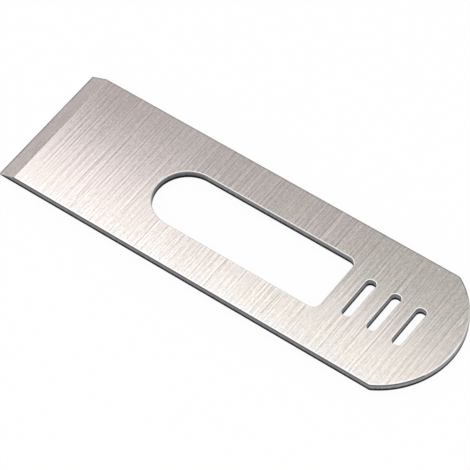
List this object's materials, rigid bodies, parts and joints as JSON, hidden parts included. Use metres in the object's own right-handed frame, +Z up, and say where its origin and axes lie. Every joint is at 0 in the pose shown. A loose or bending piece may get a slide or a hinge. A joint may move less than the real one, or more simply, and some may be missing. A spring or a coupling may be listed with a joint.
{
  "type": "plane iron",
  "caption": "Flat steel cutting iron for a small block plane, with a ground bevel, an arched top end, a long round-ended slot and short cross slots.",
  "frame": {"origin": "middle of the cutting edge, on the flat back", "axes": "+X along the iron from the cutting edge to the arched top end, +Y across the iron, +Z up through its thickness, from the back to the bevelled face"},
  "size_m": [0.114, 0.035, 0.0022],
  "materials": {
    "ground_steel": "surface ground across the width, with darker sheared walls"
  },
  "bodies": {
    "root": {"plane_iron": "ground_steel"}
  },
  "joints": []
}
